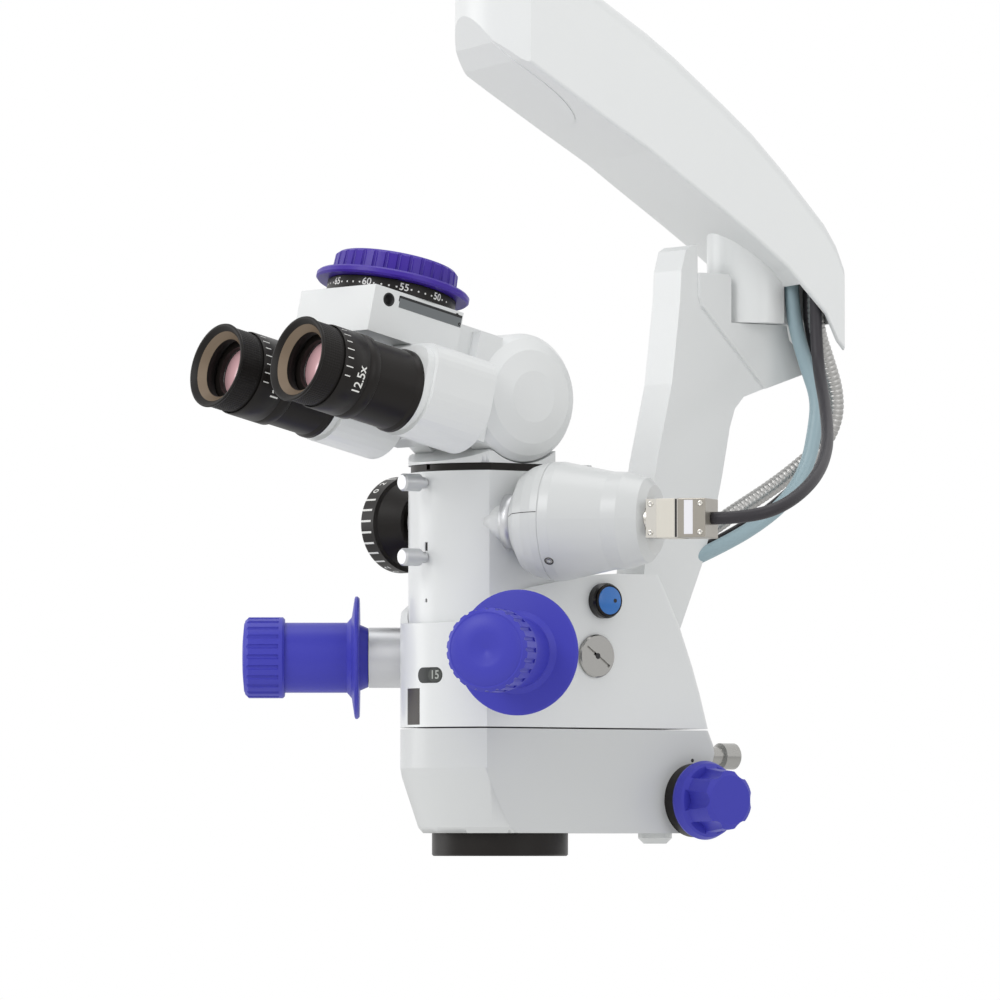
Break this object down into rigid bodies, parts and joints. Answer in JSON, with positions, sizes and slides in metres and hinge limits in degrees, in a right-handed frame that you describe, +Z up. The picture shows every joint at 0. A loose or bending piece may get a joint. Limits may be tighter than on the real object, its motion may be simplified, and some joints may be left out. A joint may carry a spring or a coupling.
{
  "type": "surgical microscope head",
  "caption": "Operating microscope head with tilting binocular tube, side camera, turning hand grips and controls, hung by a swivel from a sloping carrier arm with its cords.",
  "frame": {"origin": "centre of the objective ring's lower face, the mouth of its accessory thread", "axes": "+Z up along the optical axis, -Y towards the surgeon, +X to the surgeon's right"},
  "size_m": [0.2822, 0.3789, 0.502],
  "materials": {
    "white_enamel": "satin",
    "grey_enamel": "satin",
    "black_anodised": "satin",
    "satin_aluminium": "satin",
    "steel": "brushed",
    "violet_silicone": "satin",
    "blue_plastic": "gloss",
    "eyecup_rubber": "matte",
    "coated_glass": "gloss",
    "dark_window": "gloss",
    "connector_nickel": "satin",
    "hose_grey": "matte",
    "cable_black": "matte",
    "conduit_steel": "brushed"
  },
  "bodies": {
    "arm": {"arm_casting": "white_enamel", "arm_cover": "white_enamel"},
    "carrier": {"swivel_shaft": "steel", "carrier_block": "white_enamel", "carrier_leg": "white_enamel", "chassis_plate": "satin_aluminium", "main_housing": "white_enamel", "lower_housing": "grey_enamel", "objective_ring": "black_anodised", "objective_lens": "coated_glass", "right_zoom_tube": "satin_aluminium", "left_zoom_tube": "satin_aluminium", "filter_module": "white_enamel", "spacer_module": "white_enamel", "splitter_module": "white_enamel", "splitter_prism": "coated_glass", "prism_shelf": "satin_aluminium", "camera_neck": "satin_aluminium", "camera_clamp": "grey_enamel", "camera_body": "white_enamel", "camera_plug": "connector_nickel", "port_tube": "satin_aluminium", "tube_collar": "black_anodised", "tube_base": "white_enamel", "pivot_pin": "steel", "right_grip_sleeve": "satin_aluminium", "left_grip_sleeve": "satin_aluminium", "depth_collar": "black_anodised", "star_base": "black_anodised", "foot_button": "grey_enamel", "display_window": "dark_window", "sensor_window": "dark_window", "light_hose": "hose_grey", "metal_conduit": "conduit_steel", "video_lead": "cable_black", "control_lead": "cable_black"},
    "viewing_tube": {"tube_housing": "white_enamel", "prism_bridge": "white_enamel", "spacing_scale": "black_anodised"},
    "spacing_knob": {"spacing_knob": "violet_silicone"},
    "right_ocular": {"right_ear": "white_enamel", "right_barrel": "black_anodised", "right_eye_lens": "coated_glass"},
    "left_ocular": {"left_ear": "white_enamel", "left_barrel": "black_anodised", "left_eye_lens": "coated_glass"},
    "right_diopter": {"right_diopter_ring": "black_anodised"},
    "left_diopter": {"left_diopter_ring": "black_anodised"},
    "right_cup": {"right_eyecup": "eyecup_rubber"},
    "left_cup": {"left_eyecup": "eyecup_rubber"},
    "right_grip": {"right_grip_cap": "violet_silicone"},
    "left_grip": {"left_grip_cap": "violet_silicone"},
    "upper_thumb": {"upper_thumb_screw": "satin_aluminium"},
    "lower_thumb": {"lower_thumb_screw": "satin_aluminium"},
    "depth_knob": {"depth_knob": "blue_plastic"},
    "lock_cap": {"lock_cap": "steel"},
    "star_knob": {"star_knob": "violet_silicone"},
    "rear_screw": {"rear_screw": "steel"},
    "side_ring": {"port_ring": "black_anodised"}
  },
  "joints": [
    {"name": "carrier_swivel", "type": "hinge", "parent": "arm", "child": "carrier", "pos_m": [0, 0.17, 0.292], "axis": [0, 0, 1], "range_deg": [-70, 40], "deforming": ["light_hose", "metal_conduit", "video_lead", "control_lead"]},
    {"name": "tube_tilt", "type": "hinge", "parent": "carrier", "child": "viewing_tube", "pos_m": [0, -0.011, 0.2395], "axis": [1, 0, 0], "range_deg": [-60, 5]},
    {"name": "spacing_turn", "type": "hinge", "parent": "viewing_tube", "child": "spacing_knob", "pos_m": [0, -0.06949, 0.29893], "axis": [0, 0.2215, 0.9751], "range_deg": [-120.5, 20.5]},
    {"name": "right_ocular_slide", "type": "slide", "parent": "viewing_tube", "child": "right_ocular", "axis": [1, 0, 0], "range_m": [-0.0084, 0.0014]},
    {"name": "left_ocular_slide", "type": "slide", "parent": "viewing_tube", "child": "left_ocular", "axis": [1, 0, 0], "range_m": [-0.0014, 0.0084]},
    {"name": "right_diopter_turn", "type": "hinge", "parent": "right_ocular", "child": "right_diopter", "pos_m": [0.036, -0.12416, 0.24696], "axis": [0, -0.9751, 0.2215], "range_deg": [-60, 60]},
    {"name": "right_cup_slide", "type": "slide", "parent": "right_ocular", "child": "right_cup", "axis": [0, -0.9751, 0.2215], "range_m": [0, 0.004]},
    {"name": "right_grip_turn", "type": "hinge", "parent": "carrier", "child": "right_grip", "pos_m": [0.08425, -0.05981, 0.105], "axis": [0.6018, -0.7986, 0], "range_deg": [-60, 60]},
    {"name": "left_diopter_turn", "type": "hinge", "parent": "left_ocular", "child": "left_diopter", "pos_m": [-0.036, -0.12416, 0.24696], "axis": [0, -0.9751, 0.2215], "range_deg": [-60, 60]},
    {"name": "left_cup_slide", "type": "slide", "parent": "left_ocular", "child": "left_cup", "axis": [0, -0.9751, 0.2215], "range_m": [0, 0.004]},
    {"name": "left_grip_turn", "type": "hinge", "parent": "carrier", "child": "left_grip", "pos_m": [-0.08425, -0.05981, 0.105], "axis": [-0.6018, -0.7986, 0], "range_deg": [-60, 60]},
    {"name": "upper_thumb_turn", "type": "hinge", "parent": "carrier", "child": "upper_thumb", "pos_m": [0, -0.06, 0.195], "axis": [0, -1, 0], "range_deg": [-90, 360]},
    {"name": "lower_thumb_turn", "type": "hinge", "parent": "carrier", "child": "lower_thumb", "pos_m": [0, -0.06, 0.156], "axis": [0, -1, 0], "range_deg": [-90, 360]},
    {"name": "depth_turn", "type": "hinge", "parent": "carrier", "child": "depth_knob", "pos_m": [0.044, 0.0392, 0.134], "axis": [1, 0, 0], "range_deg": [0, 90]},
    {"name": "lock_turn", "type": "hinge", "parent": "carrier", "child": "lock_cap", "pos_m": [0.038, 0.0345, 0.1049], "axis": [1, 0, 0], "range_deg": [-90, 90]},
    {"name": "star_turn", "type": "hinge", "parent": "carrier", "child": "star_knob", "pos_m": [0.05, 0.1, 0.0294], "axis": [1, 0, 0], "range_deg": [-135, 135]},
    {"name": "rear_screw_turn", "type": "hinge", "parent": "carrier", "child": "rear_screw", "pos_m": [0.028, 0.125, 0.053], "axis": [0, 1, 0], "range_deg": [-90, 360]},
    {"name": "side_ring_turn", "type": "hinge", "parent": "carrier", "child": "side_ring", "pos_m": [-0.07, 0, 0.177], "axis": [-1, 0, 0], "range_deg": [-45, 45]}
  ],
  "couplings": [
    {"joint": "left_ocular_slide", "follows": "right_ocular_slide", "ratio": -1},
    {"joint": "spacing_turn", "follows": "right_ocular_slide", "rad_per_m": 250},
    {"joint": "left_grip_turn", "follows": "right_grip_turn", "ratio": -1}
  ]
}
